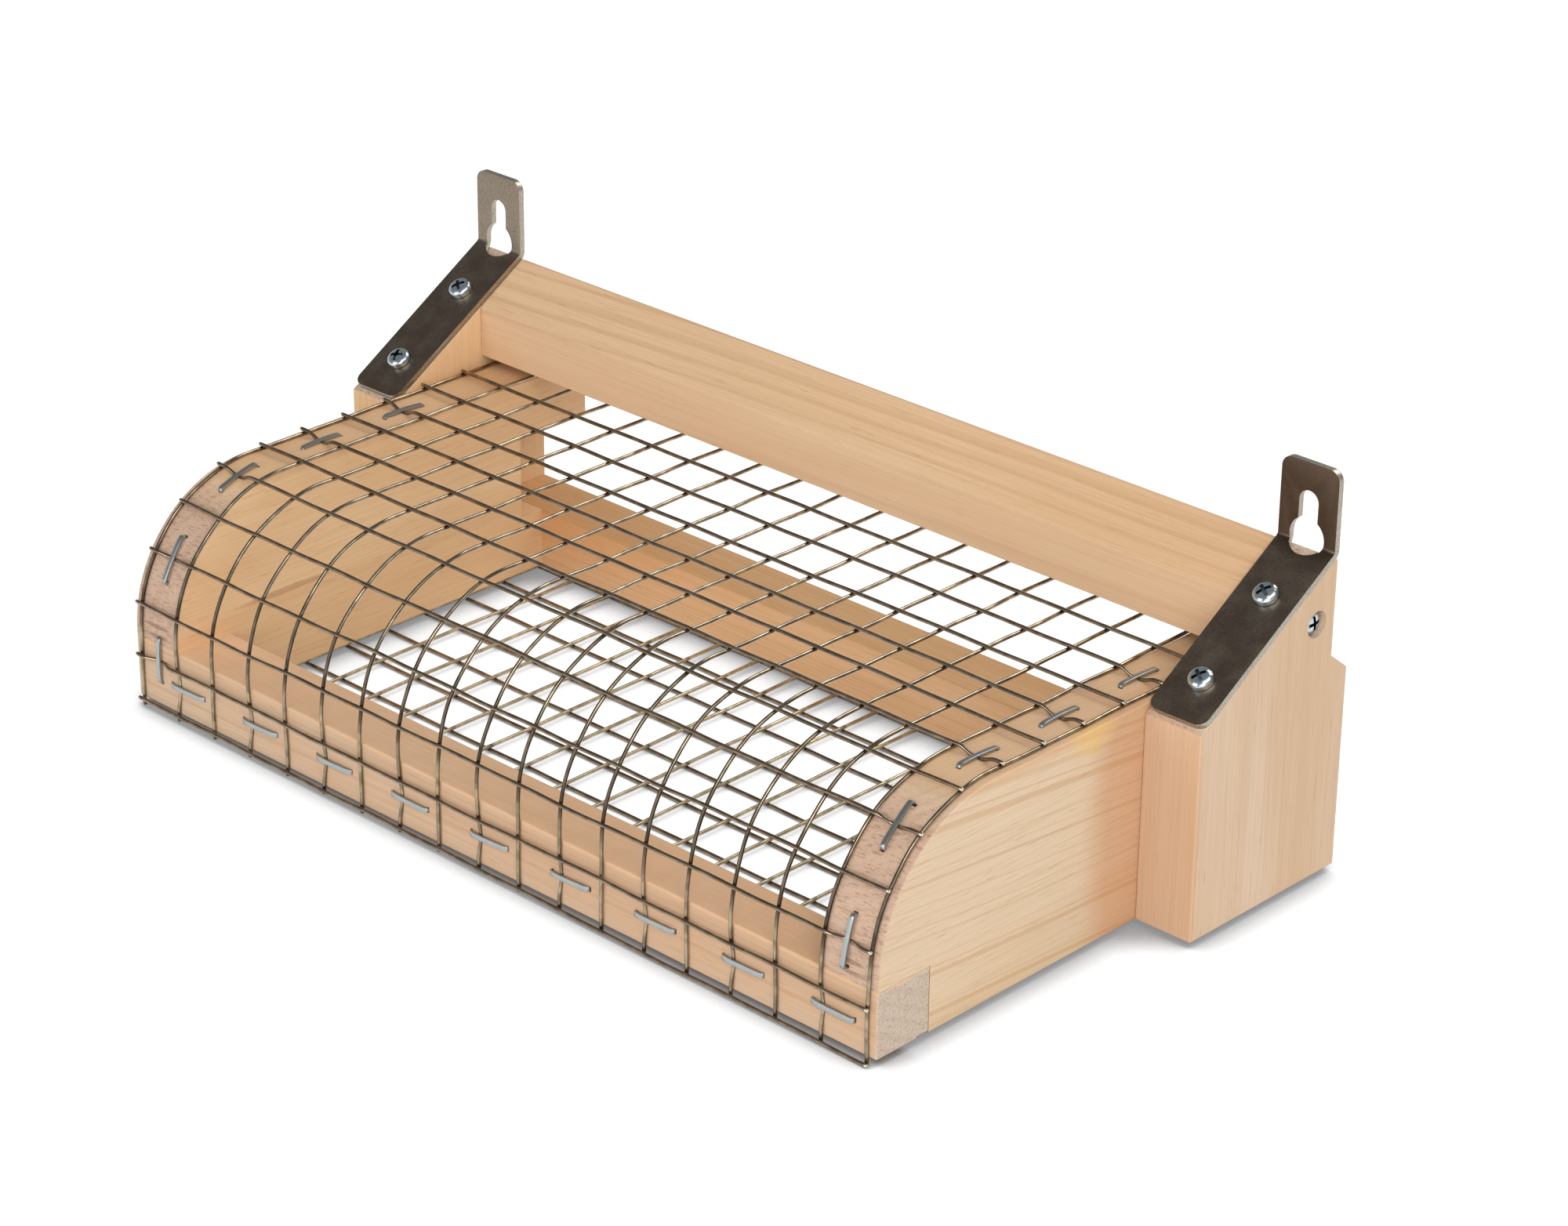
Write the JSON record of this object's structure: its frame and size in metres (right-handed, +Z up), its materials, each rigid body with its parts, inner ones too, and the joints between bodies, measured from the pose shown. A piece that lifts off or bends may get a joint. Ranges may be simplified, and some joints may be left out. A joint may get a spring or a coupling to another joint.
{
  "type": "hive entrance wasp guard",
  "caption": "Wooden porch for a beehive entrance, with a curved welded wire hood, a flat wire floor, an open back and steel hanging brackets with keyholes.",
  "frame": {"origin": "centre of the bounding box in X and Y, on the surface that the guard stands on", "axes": "+X to the right seen from the front, +Y back towards the hive wall, +Z up"},
  "size_m": [0.263, 0.1318, 0.0964],
  "materials": {
    "pale_wood": "planed, bare",
    "bracket_steel": "dark satin",
    "mesh_wire": "dull galvanised",
    "staple_zinc": "zinc plated",
    "screw_zinc": "bright zinc plated"
  },
  "bodies": {
    "root": {"left_cheek": "pale_wood", "right_cheek": "pale_wood", "front_rail": "pale_wood", "rear_rail": "pale_wood", "left_post": "pale_wood", "right_post": "pale_wood", "lintel": "pale_wood", "left_bracket": "bracket_steel", "right_bracket": "bracket_steel", "left_bracket_lower_screw": "screw_zinc", "left_bracket_upper_screw": "screw_zinc", "right_bracket_lower_screw": "screw_zinc", "right_bracket_upper_screw": "screw_zinc", "left_lintel_screw": "screw_zinc", "right_lintel_screw": "screw_zinc", "hood_lengthwise_wires": "mesh_wire", "hood_crosswise_wires": "mesh_wire", "floor_lengthwise_wires": "mesh_wire", "floor_crosswise_wires": "mesh_wire", "front_staples": "staple_zinc", "left_cheek_staples": "staple_zinc", "right_cheek_staples": "staple_zinc", "front_floor_staples": "staple_zinc", "rear_floor_staples": "staple_zinc"}
  },
  "joints": []
}
